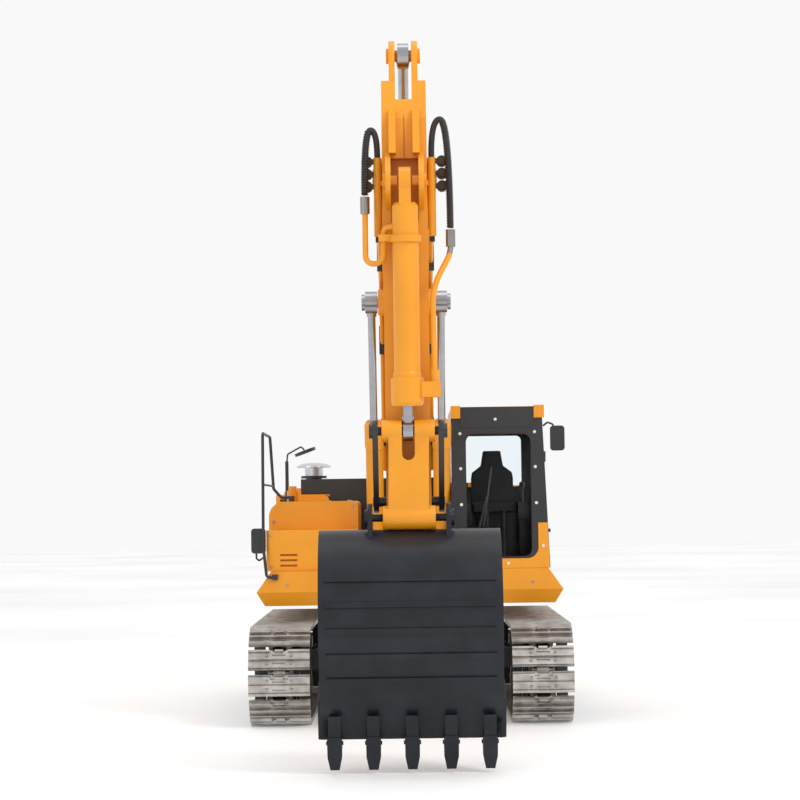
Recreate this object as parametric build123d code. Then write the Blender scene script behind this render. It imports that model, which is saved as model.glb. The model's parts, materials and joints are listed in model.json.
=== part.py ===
from build123d import *
import os
from math import cos, degrees, hypot, pi, radians, sin, tan

# Scale model of a 36 t tracked excavator, 1:14.  Millimetres.
# Construction frame: x to the machine's left, f forward, z up from the ground, slew axis at x = f = 0.
# Row frame: the same x and z, and y = -f, moved along y at the end so that the origin is under the middle.

# ---- driving dimensions -------------------------------------------------------------------
TRACK_X = 92.5          # track centre line from the machine's centre line
SHOE_WIDTH = 43.0
WHEEL_F = 144.0         # idler ahead of, and sprocket behind, the slew axis
WHEEL_Z = 35.0
PITCH_R = 27.5          # radius of the chain's pitch line round the wheels
SHOE_COUNT = 48
RAIL_R, SEAT_R = 24.0, 31.0     # chain rail's running face, and the face that carries the shoes
SHOE_TOP_R, RIB_TOP_R = 32.4, 35.0
SPROCKET_TEETH = 11

DECK_LOW, DECK_MID, DECK_TOP = 83.6, 93.5, 104.5
DECK_FRONT, DECK_REAR = 135.0, -150.0
DECK_LIFT = 4.0         # the deck's top, and all that stands on it, is raised by this
TAIL_RADIUS = 246.0     # counterweight's swing radius

# side view pins, as (forward, height)
BOOM_FOOT = (30.0, 130.0)
BOOM_NOSE = (434.0, 350.0)
BOOM_CYL_BASE = (88.0, 95.0)
BOOM_CYL_PIN = (200.0, 295.5)
STICK_CYL_BASE = (200.0, 345.0)
STICK_TAIL = (432.0, 424.5)
STICK_TIP = (436.0, 123.0)
ROCKER_PIVOT = (436.0, 157.0)
LINK_PIN = (458.0, 198.5)
BUCKET_PIN = (460.7, 147.7)
BUCKET_CYL_BASE = (466.0, 345.0)

BOOM_HALF, STICK_HALF = 15.0, 13.3
FORK_INNER, FORK_OUTER = 13.6, 17.0
BOOM_CYL_X = 24.1
PIN_GAP = 0.05          # radial running clearance of a pin in its bore
SIDE_GAP = 0.3

CAB_IN, CAB_OUT_LOW, CAB_OUT_TOP = 31.0, 101.0, 96.5
CAB_FRONT, CAB_REAR = 133.0, 5.0
CAB_FLOOR, CAB_ROOF = DECK_TOP + 0.1, 216.0
CAB_WALL = 2.5

BUCKET_HALF = 53.0


# ---- helpers ------------------------------------------------------------------------------
def at(x, f, z):
    return Vector(x, -f, z)


def block(x0, x1, f0, f1, z0, z1):
    size = (abs(x1 - x0), abs(f1 - f0), abs(z1 - z0))
    middle = at((x0 + x1) / 2, (f0 + f1) / 2, (z0 + z1) / 2)
    return Pos(*middle) * Box(*size)


def side_plane(x):
    """Sketch plane of the side view at x: its first axis is forward, its second up, and it faces -X."""
    return Plane(origin=(x, 0, 0), x_dir=(0, -1, 0), z_dir=(-1, 0, 0))


def front_plane(f):
    """Sketch plane of the front view at f: its first axis is x, its second up, and it faces forward."""
    return Plane(origin=(0, -f, 0), x_dir=(1, 0, 0), z_dir=(0, -1, 0))


def polygon(points):
    return make_face(Polyline(*points, close=True))


def side_slab(sketch, x0, x1):
    """A side-view sketch as a slab from x0 to x1."""
    return extrude(side_plane(max(x0, x1)) * sketch, abs(x1 - x0))


def front_slab(sketch, f0, f1):
    """A front-view sketch as a slab from f0 to f1."""
    return extrude(front_plane(min(f0, f1)) * sketch, abs(f1 - f0))


def disc(point, radius):
    return Pos(point[0], point[1]) * Circle(radius)


def hull_of(*discs):
    """The side-view outline that is stretched round discs given as (point, radius)."""
    edges = []
    for point, radius in discs:
        edges += disc(point, radius).edges()
    return make_hull(edges)


def pin(point, radius, x0, x1):
    return side_slab(disc(point, radius), x0, x1)


def both_sides(shape):
    return [shape, mirror(shape, about=Plane.YZ)]


def group(shapes):
    solids = []
    for shape in shapes:
        solids += shape.solids()
    return Compound(children=solids)


def rounded_box(x0, x1, f0, f1, z0, z1, radius):
    """A block with all its edges rounded."""
    made = block(x0, x1, f0, f1, z0, z1)
    return fillet(made.edges(), radius)


def tube(points, radius, bend):
    """A round bar along straight runs joined by arcs of one radius."""
    path = FilletPolyline(*[at(*p) for p in points], radius=bend) if len(points) > 2 else Line(
        at(*points[0]), at(*points[1]))
    start = Plane(origin=path @ 0, z_dir=path % 0)
    return sweep(start * Circle(radius), path=path)


def axis_plane(x, start, end):
    """Plane at side-view point start, facing side-view point end."""
    a, b = at(x, *start), at(x, *end)
    return Plane(origin=a, x_dir=(1, 0, 0), z_dir=(b - a).normalized())


def bar(plane, radius, near, far):
    """A cylinder on the plane's axis from near to far."""
    return extrude(plane.offset(near) * Circle(radius), far - near)


def revolved_bar(plane, outline):
    """A turned bar on the plane's axis. outline is a list of (distance along, radius), from end to end."""
    points = [(0, outline[0][0])] + [(r, d) for d, r in outline] + [(0, outline[-1][0])]
    profile = Plane(origin=plane.origin, x_dir=plane.x_dir, z_dir=-plane.y_dir)
    return revolve(profile * polygon(points), Axis(plane.origin, plane.z_dir))


# ---- tracks -------------------------------------------------------------------------------
def track_stations():
    """(f, z, turn) of each chain link: turn is the angle of its outward side from straight up, towards the front."""
    straight = 2 * WHEEL_F
    arc = pi * PITCH_R
    pitch = 2 * (straight + arc) / SHOE_COUNT
    stations = []
    for i in range(SHOE_COUNT):
        s = (i + 0.5) * pitch
        if s < straight:
            stations.append((-WHEEL_F + s, WHEEL_Z, 0.0))
        elif s < straight + arc:
            stations.append((WHEEL_F, WHEEL_Z, (s - straight) / PITCH_R))
        elif s < 2 * straight + arc:
            stations.append((WHEEL_F - (s - straight - arc), WHEEL_Z, pi))
        else:
            stations.append((-WHEEL_F, WHEEL_Z, pi + (s - 2 * straight - arc) / PITCH_R))
    return stations


def placed_round_track(piece):
    """Copies of a piece made upright over f = z = 0, one at each station of the loop."""
    copies = []
    for f, z, turn in track_stations():
        copies.append(Pos(TRACK_X, -f, z) * Rot(X=degrees(turn)) * piece)
    return copies


def track_shoe():
    half, rib_low, rib_top = 7.6, 1.0, 0.6
    points = [(-half, SEAT_R), (half, SEAT_R), (half, SHOE_TOP_R)]
    for centre, top in ((6.0, RIB_TOP_R - 0.65), (0.0, RIB_TOP_R), (-6.0, RIB_TOP_R - 0.65)):
        points += [(centre + rib_low, SHOE_TOP_R), (centre + rib_top, top),
                   (centre - rib_top, top), (centre - rib_low, SHOE_TOP_R)]
    points.append((-half, SHOE_TOP_R))
    shoe = side_slab(polygon(points), -SHOE_WIDTH / 2, SHOE_WIDTH / 2)
    for x in (-4.7, 4.7):
        shoe -= block(x - 1.6, x + 1.6, -half - 1, -half + 3.4, SEAT_R - 1, RIB_TOP_R + 1)
    for f in (-3.0, 3.0):
        shoe -= block(-4.7, 4.7, f - 0.8, f + 0.8, SEAT_R - 1, RIB_TOP_R + 1)
    return shoe


def track_link():
    """Two rails joined by the seat that the shoe is bolted to."""
    rail = polygon([(-6.4, RAIL_R), (6.4, RAIL_R), (7.4, PITCH_R), (7.4, SEAT_R), (-7.4, SEAT_R), (-7.4, PITCH_R)])
    seat = block(-4.5, 4.5, -6.5, 6.5, SEAT_R - 1.0, SEAT_R)
    return side_slab(rail, 4.5, 7.5) + side_slab(rail, -7.5, -4.5) + seat


def idler():
    hub_r, rim_r, flange_r = 8.0, RAIL_R - SIDE_GAP, 28.0
    centre = (WHEEL_F, WHEEL_Z)
    wheel = pin(centre, rim_r, TRACK_X - 7.4, TRACK_X + 7.4) + pin(centre, flange_r, TRACK_X - 4.2, TRACK_X + 4.2)
    for side in (-1, 1):
        wheel -= pin(centre, 20.0, TRACK_X + side * 3.0, TRACK_X + side * 8.0)
    for i in range(6):
        a = i * pi / 3
        wheel -= pin((centre[0] + 13.5 * cos(a), centre[1] + 13.5 * sin(a)), 3.6, TRACK_X - 9, TRACK_X + 9)
    wheel += pin(centre, hub_r, TRACK_X - 9.2, TRACK_X + 9.2)
    return wheel - pin(centre, 4.0, TRACK_X - 10, TRACK_X + 10)


def sprocket():
    root_r, tip_r = 23.0, 29.2
    centre = (-WHEEL_F, WHEEL_Z)
    half_root, half_tip = pi / SPROCKET_TEETH * 0.62, pi / SPROCKET_TEETH * 0.26
    outline = []
    for i in range(SPROCKET_TEETH):
        a = 2 * pi * i / SPROCKET_TEETH
        for radius, offset in ((root_r, -half_root), (tip_r, -half_tip), (tip_r, half_tip), (root_r, half_root)):
            outline.append((centre[0] + radius * cos(a + offset), centre[1] + radius * sin(a + offset)))
    wheel = side_slab(polygon(outline), TRACK_X - 2.6, TRACK_X + 2.6)
    wheel += pin(centre, 17.0, TRACK_X - 6.3, TRACK_X + 11.0)
    wheel -= pin(centre, 12.0, TRACK_X - 7.0, TRACK_X + 9.0)
    for i in range(8):
        a = 2 * pi * i / 8
        wheel -= pin((centre[0] + 14.4 * cos(a), centre[1] + 14.4 * sin(a)), 1.0, TRACK_X + 10.2, TRACK_X + 12)
    return wheel


def travel_motor():
    centre = (-WHEEL_F, WHEEL_Z)
    return pin(centre, 12.0 - PIN_GAP, TRACK_X - 6.6, TRACK_X + 8.5) + pin(centre, 15.5, TRACK_X - 9.6, TRACK_X - 6.6)


ROLLER_F = [-108 + 30 * i for i in range(8)]
ROLLER_Z = WHEEL_Z - RAIL_R + SIDE_GAP + 8.0
CARRIER_F = (-55.0, 55.0)
CARRIER_Z = WHEEL_Z + RAIL_R - SIDE_GAP - 5.0


def track_roller(point, radius, flange):
    """A roller with its shaft ends, and a waist that guides the rails."""
    roller = pin(point, radius, TRACK_X - 8.8, TRACK_X + 8.8)
    roller += pin(point, flange, TRACK_X - 3.8, TRACK_X + 3.8)
    return roller + pin(point, 2.5, TRACK_X - 12.8, TRACK_X + 12.8)


def track_rollers():
    made = [track_roller((f, ROLLER_Z), 8.0, 9.6) for f in ROLLER_F]
    made += [track_roller((f, CARRIER_Z), 5.0, 6.2) for f in CARRIER_F]
    return made


def track_frame():
    """Box beam between idler and sprocket, open below for the rollers."""
    inner, outer = 9.6, 12.0
    outline = polygon([(-121, 24), (-114, 15), (112, 15), (120, 27), (152, 27), (152, 43), (120, 47), (-121, 47)])
    plate = side_slab(outline, inner, outer)
    for f in CARRIER_F:
        plate += side_slab(polygon([(f - 9, 47), (f - 5, 58), (f + 5, 58), (f + 9, 47)]), inner, outer)
    for f in ROLLER_F:
        plate -= pin((f, ROLLER_Z), 2.6, inner - 1, outer + 1)
    for f in CARRIER_F:
        plate -= pin((f, CARRIER_Z), 2.6, inner - 1, outer + 1)
    plate -= pin((WHEEL_F, WHEEL_Z), 3.95, inner - 1, outer + 1)
    frame = plate + mirror(plate, about=Plane.YZ)
    frame += block(-inner, inner, -112, 112, 33, 41)
    motor_plate = hull_of(((-WHEEL_F, WHEEL_Z), 15.5), ((-118, 35), 12))
    frame += side_slab(motor_plate, -outer, -inner)
    return Pos(X=TRACK_X) * frame


def idler_axle():
    return pin((WHEEL_F, WHEEL_Z), 3.95, TRACK_X - 13.4, TRACK_X + 13.4)


# ---- centre frame and slew ring -----------------------------------------------------------
RING_LOW, RING_SPLIT = 62.0, 72.0
RING_OUTER, RING_SEAT, RING_BORE = 46.0, 30.1, 20.0


def centre_frame():
    body = extrude(Pos(Z=38) * RegularPolygon(58, 8), RING_LOW - 38)
    body -= extrude(Pos(Z=36) * Circle(16), 40)
    leg = polygon([(40, 42), (80.4, 30), (80.4, 44), (40, 58)])
    for near in (26.0, -52.0):
        for piece in both_sides(front_slab(leg, near, near + 26)):
            body += piece
    return body - extrude(Pos(Z=36) * Circle(16), 40)


def slew_ring_lower():
    ring = extrude(Pos(Z=RING_LOW) * (Circle(RING_OUTER) - Circle(RING_SEAT)), RING_SPLIT - RING_LOW)
    for i in range(12):
        a = i * pi / 6
        ring -= Pos(40 * cos(a), 40 * sin(a), RING_SPLIT) * Cylinder(1.6, 6)
    return ring


def slew_ring_upper():
    ring = extrude(Pos(Z=RING_SPLIT + SIDE_GAP) * (Circle(44) - Circle(RING_BORE)), DECK_LOW - RING_SPLIT - SIDE_GAP)
    return ring + extrude(Pos(Z=64) * (Circle(RING_SEAT - 0.1) - Circle(RING_BORE)), 9)


# ---- upper structure ----------------------------------------------------------------------
POCKET = (17.2, 31.0, 58.0)      # inner and outer side, and rear end, of each boom cylinder's pocket


def slew_platform():
    outline = [(104.3, DECK_LOW), (110, DECK_MID), (99.5, DECK_TOP + DECK_LIFT)]
    deck = front_slab(polygon(outline + [(-x, z) for x, z in reversed(outline)]), DECK_REAR, DECK_FRONT)
    front_bevel = polygon([(DECK_FRONT - 6, DECK_LOW - 1), (DECK_FRONT, DECK_MID), (DECK_FRONT + 9, DECK_MID),
                           (DECK_FRONT + 9, DECK_LOW - 1)])
    deck -= side_slab(front_bevel, -120, 120)
    for side in (-1, 1):
        deck -= block(side * POCKET[0], side * POCKET[1], POCKET[2], DECK_FRONT + 1, DECK_LOW - 1, DECK_TOP + 9)
    deck -= block(-58, 58, -20, -145, 88 + DECK_LIFT, DECK_TOP + 9)
    return deck - Pos(Z=80) * Cylinder(RING_BORE, 80)


CHEEK = (13.2, 17.2)


def boom_bracket():
    """Cheeks that hold the boom foot, and the stub pins of the boom cylinders' bases in the deck's pockets."""
    deck_room = block(0, 60, -30, 120, 60, DECK_TOP + DECK_LIFT)
    cheek = side_slab(hull_of((BOOM_FOOT, 12.5), ((52, 111), 4), ((8, 111), 4)), *CHEEK)
    cheek -= pin(BOOM_FOOT, 4.0, 12, 22)
    return both_sides(cheek - deck_room)


def boom_base_stubs():
    near = pin(BOOM_CYL_BASE, 3.0, POCKET[0], POCKET[0] + 2.2)
    far = pin(BOOM_CYL_BASE, 3.0, POCKET[1] - 2.2, POCKET[1])
    return both_sides(near) + both_sides(far)


def boom_foot_pin():
    shaft = pin(BOOM_FOOT, 4.0, -18.0, 18.0)
    return shaft + pin(BOOM_FOOT, 6.2, CHEEK[1], 19.2) + pin(BOOM_FOOT, 6.2, -19.2, -CHEEK[1])


def counterweight():
    """Ballast with a round tail, a sloping underside and a rounded top edge."""
    plan = Circle(TAIL_RADIUS) & Pos(0, TAIL_RADIUS) * Rectangle(208, 2 * TAIL_RADIUS)
    weight = extrude(Plane.XY.offset(88) * plan, 78) & block(-110, 110, DECK_REAR - 1.0, -260, 80, 170)
    top = weight.faces().sort_by(Axis.Z)[-1]
    weight = fillet(top.edges().sort_by(Axis.Y)[1:], 6)
    low = weight.faces().sort_by(Axis.Z)[0]
    return chamfer(low.edges().sort_by(Axis.Y)[1:], 5)


def vent_slots(x0, x1, f, heights):
    """Slots with round ends, cut 3 mm deep into a front face at f."""
    cuts = None
    for z in heights:
        slot = front_slab(Pos((x0 + x1) / 2, z) * SlotOverall(x1 - x0, 1.5), f - 3, f + 1)
        cuts = slot if cuts is None else cuts + slot
    return cuts


def tool_box():
    box = block(-103, -37, 108, 131, DECK_TOP + 0.1, 134)
    box = fillet(box.edges().filter_by(Axis.Z).sort_by(Axis.X)[:2], 3)
    box -= block(-101, -39, 106, 126, DECK_TOP - 1, 132)
    return box - vent_slots(-93, -80.5, 131, (116.2, 112.4, 108.6))


def fuel_tank():
    """Tank behind the tool box; its outer top edge has a large round."""
    tank = block(-102, -37, -9.5, 107.7, DECK_TOP + 0.1, 154.5)
    upper = tank.edges().filter_by(Axis.Y).group_by(Axis.Z)[-1].sort_by(Axis.X)
    tank = fillet(upper[:1], 11)
    return fillet(tank.edges().filter_by(Axis.Y).group_by(Axis.Z)[-1].sort_by(Axis.X)[-1:], 3)


def side_panels():
    """Left and right machine-house covers, open below."""
    left = block(61.8, 103, 4.5, DECK_REAR, DECK_TOP + 0.1, 160)
    left = fillet(left.edges().filter_by(Axis.Y).sort_by(Axis.Z)[-1:], 5) - block(64, 101, 2, -148, 100, 158)
    right = block(-103, -61.8, -10, DECK_REAR, DECK_TOP + 0.1, 160)
    right = fillet(right.edges().filter_by(Axis.Y).sort_by(Axis.Z)[-1:], 5) - block(-101, -64, -12, -148, 100, 158)
    for i in range(7):
        z = 118 + 5 * i
        left -= block(100, 105, -60, -120, z, z + 2)
        right -= block(-105, -100, -60, -120, z, z + 2)
    return [left, right]


def machine_bulkhead():
    """Black cover ahead of the engine, which runs on over the right-hand side cover."""
    lower = block(-61.6, 29, -19, -58, DECK_TOP + 0.1, 160.2)
    upper = block(-84, 29, -19, -58, 160.2, 172)
    cover = lower + upper
    cover -= block(-59.6, 27, -21, -59, 100, 170)
    return cover


def engine_hood():
    hood = block(-61.6, 61.6, -58.5, -149.5, 138, 168)
    hood = fillet(hood.edges().filter_by(Axis.Y).group_by(Axis.Z)[-1], 6)
    hood -= block(-59.4, 59.4, -60.5, -147.5, 130, 165.8)
    for i in range(5):
        x = -32 + 16 * i
        hood -= block(x - 5, x + 5, -84, -86.5, 160, 170)
        hood -= block(x - 5, x + 5, -92, -94.5, 160, 170)
    return hood & pin(HOOD_HINGE, HOOD_SWEEP, -62, 62)


HOOD_HINGE = (-148.0, 170.2)
HOOD_SWEEP = 89.7      # the hood's front swings clear of the bulkhead inside this radius


def hood_knuckles():
    made = None
    for x in (-40, 40):
        knuckle = pin(HOOD_HINGE, 2.0, x - 5, x + 5) + block(x - 5, x + 5, -149.5, -146.5, 166.5, 170.2)
        knuckle -= pin(HOOD_HINGE, 0.8 + PIN_GAP, x - 6, x + 6)
        made = knuckle if made is None else made + knuckle
    return made


def hood_lugs():
    """Lugs on the counterweight, each with a stub pin through one of the hood's knuckles."""
    made = None
    for side in (-1, 1):
        lug = block(side * 45.2, side * 48, -148.0, -158, 168.4, 172.2)
        lug += pin(HOOD_HINGE, 2.0, side * 45.2, side * 48)
        lug += block(side * 45.2, side * 48, -151.2, -158, 166.0, 168.4)
        lug += pin(HOOD_HINGE, 0.8, side * 35, side * 45.3)
        made = lug if made is None else made + lug
    return made


def battery():
    return rounded_box(-56, -8, -24, -56, 88.2, 112, 2)


def hydraulic_pump():
    body = Pos(*at(14, -100, 104)) * Rot(Y=90) * Cylinder(13, 44)
    motor = Pos(*at(-26, -100, 104)) * Rot(Y=90) * Cylinder(11, 36)
    foot = block(-6, 34, -88, -112, 88.1, 94)
    return body + motor + foot


def oil_tank():
    tank = rounded_box(32, 57, -22, -82, 88.2, 130, 3)
    return tank + Pos(*at(44, -52, 131)) * Cylinder(6, 6)


def valve_block():
    block_body = block(-52, -14, -64, -84, 88.1, 112)
    for i in range(5):
        block_body += Pos(*at(-48 + 7.5 * i, -74, 114)) * Cylinder(2.4, 6)
    return block_body


def radio_box():
    return rounded_box(-54, -20, -122, -142, 88.2, 100, 1.5)


def swing_motor():
    plane = Plane(origin=at(0, -8, 84))
    return extrude(plane * Circle(7), 20.4) + extrude(plane.offset(20.4) * Circle(10), 22)


# ---- cab ----------------------------------------------------------------------------------
def cab_outline(inset):
    """Front-view outline of the cab, whose outer side leans in towards the roof."""
    return polygon([(CAB_IN + inset, CAB_FLOOR + inset), (CAB_OUT_LOW - inset, CAB_FLOOR + inset),
                    (CAB_OUT_TOP - inset, CAB_ROOF - inset), (CAB_IN + inset, CAB_ROOF - inset)])


def cab_shell():
    outer = front_slab(cab_outline(0), CAB_REAR, CAB_FRONT)
    return outer - front_slab(cab_outline(CAB_WALL), CAB_REAR + CAB_WALL, CAB_FRONT - CAB_WALL)


def rounded_rect(x0, x1, z0, z1, radius):
    return Pos((x0 + x1) / 2, (z0 + z1) / 2) * RectangleRounded(x1 - x0, z1 - z0, radius)


FRONT_WINDOW = (41.0, 88.5, 112.0, 202.0, 6.0)
REAR_WINDOW = (41.0, 87.0, 164.0, 203.0, 4.0)
INNER_WINDOW = (14.0, 126.0, 150.0, 204.0, 4.0)
QUARTER_WINDOW = (10.0, 36.0, 160.0, 204.0, 4.0)
DOOR_OPENING = (42.0, 128.0, 107.5, 205.0)
DOOR_WINDOW = (50.0, 120.0, 140.0, 200.0, 5.0)
SIDE_LOW, SIDE_HIGH = 85.0, 110.0


def cab_frame():
    shell = cab_shell()
    shell -= front_slab(rounded_rect(*FRONT_WINDOW), CAB_FRONT - 4, CAB_FRONT + 1)
    shell -= front_slab(rounded_rect(*REAR_WINDOW), CAB_REAR - 1, CAB_REAR + 4)
    shell -= side_slab(rounded_rect(*INNER_WINDOW), CAB_IN - 1, CAB_IN + 4)
    shell -= side_slab(rounded_rect(*QUARTER_WINDOW), SIDE_LOW, SIDE_HIGH)
    f0, f1, z0, z1 = DOOR_OPENING
    shell -= block(SIDE_LOW, SIDE_HIGH, f0, f1, z0, z1)
    header = block(38, 90.4, 126, CAB_FRONT + 1.2, CAB_ROOF, 220.5)
    header += block(38, 90.4, CAB_FRONT, CAB_FRONT + 1.2, 206, CAB_ROOF)
    return shell + header


def cab_roof():
    roof = block(CAB_IN, CAB_OUT_TOP, CAB_REAR, 125.8, CAB_ROOF, 221)
    roof = fillet(roof.edges().filter_by(Axis.Y).group_by(Axis.Z)[-1], 2.5)
    corners = []
    for x0, x1 in ((CAB_IN, 37.8), (90.6, CAB_OUT_TOP + 1.5)):
        corner = block(x0, x1, 125.8, CAB_FRONT + 2.0, CAB_ROOF, 221.5)
        corner += block(x0, x1, CAB_FRONT, CAB_FRONT + 2.0, 212.5, CAB_ROOF)
        corners.append(corner)
    return roof + corners[0] + corners[1]


def cab_front_panel():
    """Painted plate under and beside the windscreen, with a round inner corner."""
    outline = polygon([(CAB_IN, CAB_FLOOR), (100.6, CAB_FLOOR), (99.4, 137), (92.6, 137), (92.6, 111.6), (CAB_IN, 111.6)])
    plate = front_slab(outline, CAB_FRONT, CAB_FRONT + 1.2)
    inner_corner = [e for e in plate.edges().filter_by(Axis.Y)
                    if abs(e.center().X - 92.6) < 0.1 and abs(e.center().Z - 111.6) < 0.1]
    return fillet(inner_corner, 8)


GLASS_GAP = 0.05


def pane(window, plane_slab, near, far):
    x0, x1, z0, z1, radius = window
    return plane_slab(rounded_rect(x0 + GLASS_GAP, x1 - GLASS_GAP, z0 + GLASS_GAP, z1 - GLASS_GAP, radius), near, far)


def side_wall_pane(window):
    """A pane 1 mm thick, which follows the leaning side wall."""
    leaning = front_slab(cab_outline(0.8), CAB_REAR, CAB_FRONT) - front_slab(cab_outline(1.8), CAB_REAR, CAB_FRONT)
    return leaning & pane(window, side_slab, SIDE_LOW, SIDE_HIGH)


def cab_glass():
    return [pane(FRONT_WINDOW, front_slab, CAB_FRONT - 1.8, CAB_FRONT - 0.8),
            pane(REAR_WINDOW, front_slab, CAB_REAR + 0.8, CAB_REAR + 1.8),
            pane(INNER_WINDOW, side_slab, CAB_IN + 0.8, CAB_IN + 1.8),
            side_wall_pane(QUARTER_WINDOW)]


def cab_door():
    f0, f1, z0, z1 = DOOR_OPENING
    door = cab_shell() & block(SIDE_LOW, SIDE_HIGH, f0 + 0.4, f1 - 0.4, z0 + 0.4, z1 - 0.4)
    door -= side_slab(rounded_rect(*DOOR_WINDOW), SIDE_LOW, SIDE_HIGH)
    handle = block(99.2, 102.2, 112, 122, 130, 132.5)
    return door + handle


DOOR_HINGE = (102.6, 40.8)


def door_hinges():
    """Two hinge pins on arms from the door post."""
    made = []
    for z in (122.0, 186.0):
        knuckle = Pos(*at(*DOOR_HINGE, z)) * Cylinder(1.4, 8)
        arm = block(97.0, 102.0, 38.4, 40.6, z - 3, z + 3)
        made.append(knuckle + (arm - front_slab(cab_outline(0), CAB_REAR, CAB_FRONT)))
    return made


SEAT_X = 63.0


def seat():
    half = [(6.5, 190.7), (8.4, 179.5), (15.0, 174.5), (15.8, 170.0), (15.8, 152.0)]
    outline = [(SEAT_X + x, z) for x, z in half] + [(SEAT_X - x, z) for x, z in reversed(half)]
    back = front_slab(polygon(outline), 40, 46)
    back = fillet(back.edges().filter_by(Axis.Y), 1.2)
    cushion = rounded_box(SEAT_X - 15.8, SEAT_X + 15.8, 46, 80, 144, 152, 2)
    base = block(SEAT_X - 11, SEAT_X + 11, 42, 74, CAB_FLOOR + CAB_WALL, 144)
    return back + cushion + base + block(SEAT_X - 10, SEAT_X + 10, 40, 46.5, 144, 153)


def control_levers():
    made = []
    for side in (-1, 1):
        x = SEAT_X + side * 21
        console = block(x - 3.5, x + 3.5, 52, 84, 140, 152) + block(x - 2, x + 2, 56, 70, CAB_FLOOR + CAB_WALL, 140)
        stick = Pos(*at(x, 78, 158)) * Cylinder(1.0, 13) + Pos(*at(x, 78, 165)) * Sphere(2.2)
        made.append(console + stick)
        travel = Pos(*at(SEAT_X + side * 6, 104, 127)) * Cylinder(1.0, 38)
        travel += block(SEAT_X + side * 6 - 3.5, SEAT_X + side * 6 + 3.5, 98, 112, CAB_FLOOR + CAB_WALL, 109)
        made.append(travel)
    return made


def screw_head(x, z, f):
    return front_slab(disc((x, z), 1.1), f, f + 0.7)


def cab_screws():
    flush = CAB_FRONT
    spots = [(37.4, 201.6), (37.6, 176.4), (37.8, 150.6), (91.0, 202.3), (91.2, 177.2), (91.6, 151.3)]
    made = [screw_head(x, z, flush) for x, z in spots]
    made += [screw_head(x, z, flush + 1.2) for x, z in ((62.9, 211.6), (70.8, 108.2), (96.0, 120.4))]
    return made


# ---- fittings on the upper structure --------------------------------------------------------
def mirror_head(x, z, f=130.6):
    return fillet(block(x - 5.2, x + 5.2, f, f + 2.8, z - 9, z + 9).edges().filter_by(Axis.Y), 2.4)


def mirrors():
    cab_side = mirror_head(107.4, 197.5)
    cab_arm = tube([(97.4, 131, 206.5), (100.5, 132, 209), (104.5, 132, 207.5), (104.5, 132, 203)], 0.7, 1.5)
    rail_side = mirror_head(-108.4, 126.5, 129.6)
    rail_arm = tube([(-105.1, 134.4, 114.4), (-108, 132, 112.4), (-110, 131, 114), (-110, 131, 118.5)], 0.7, 1.2)
    return [cab_side + cab_arm, rail_side + rail_arm]


def handrail():
    hoop = [(-96.5, 136.4, 100.5), (-102.5, 136.4, 100.5), (-104.8, 134.2, 122), (-104.6, 131, 204),
            (-101, 101, 202), (-99, 97, 164), (-93.5, 96, 157.6), (-86, 96, 157.6)]
    rail = tube(hoop, 1.1, 2.6)
    brace = tube([(-104.7, 132.4, 167), (-99.2, 97.4, 166)], 0.8, 1)
    foot = block(-98.5, -94.5, DECK_FRONT, 137.6, 98.5, 102.5)
    rear_foot = Pos(*at(-86, 96, 156.6)) * Cylinder(2.2, 4)
    return rail + brace + foot + rear_foot


def mast_mirror():
    post = block(-92, -89.6, 58, 62, 156.4, 184.7)
    gusset = side_slab(polygon([(54, 154.6), (66, 154.6), (62, 168), (58, 168)]), -92.0, -89.6)
    foot = block(-96, -86, 54, 66, 154.6, 156.4)
    arm = tube([(-90.8, 60, 184), (-90.2, 60, 190), (-80, 60, 195.6), (-77.6, 60, 193)], 0.6, 1.2)
    head = Pos(*at(-77, 60, 191.6)) * Rot(Y=-20) * Cylinder(8.2, 2.2)
    return post + gusset + foot + arm + head


PRECLEANER = (-76.0, -80.0)


def exhaust_stack():
    """Black flanged stem that carries the air pre-cleaner."""
    x, f = PRECLEANER
    stem = Pos(*at(x, f, 166.6)) * Cylinder(6.5, 13.2)
    return stem + Pos(*at(x, f, 174.2)) * Cylinder(10.4, 2.0)


def air_precleaner():
    x, f = PRECLEANER
    plane = Plane(origin=at(x, f, 175.2), x_dir=(1, 0, 0), z_dir=(0, 0, 1))
    outline = [(0, 7.2), (6.4, 7.2), (6.6, 13.8), (8.0, 13.6), (9.6, 10.0), (10.6, 4.0)]
    return revolved_bar(plane, outline)


def filler_neck():
    x, f = -86.0, 78.0
    neck = Pos(*at(x, f, 158.6)) * Cylinder(4.2, 8.0)
    return neck + Pos(*at(x, f, 164.2)) * Cylinder(3.0, 3.4)


# ---- boom ---------------------------------------------------------------------------------
def boom_outline():
    lower = Spline((30, 119), (74, 150), (140, 213), (184, 256), (226, 280), (300, 304), (434, 338))
    upper = Spline((434, 362), (340, 364), (262, 354), (212, 334), (160, 296), (92, 222), (22, 138))
    foot = Line(upper @ 1, lower @ 0)
    nose = Line(lower @ 1, upper @ 0)
    return make_face([lower, nose, upper, foot])


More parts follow.
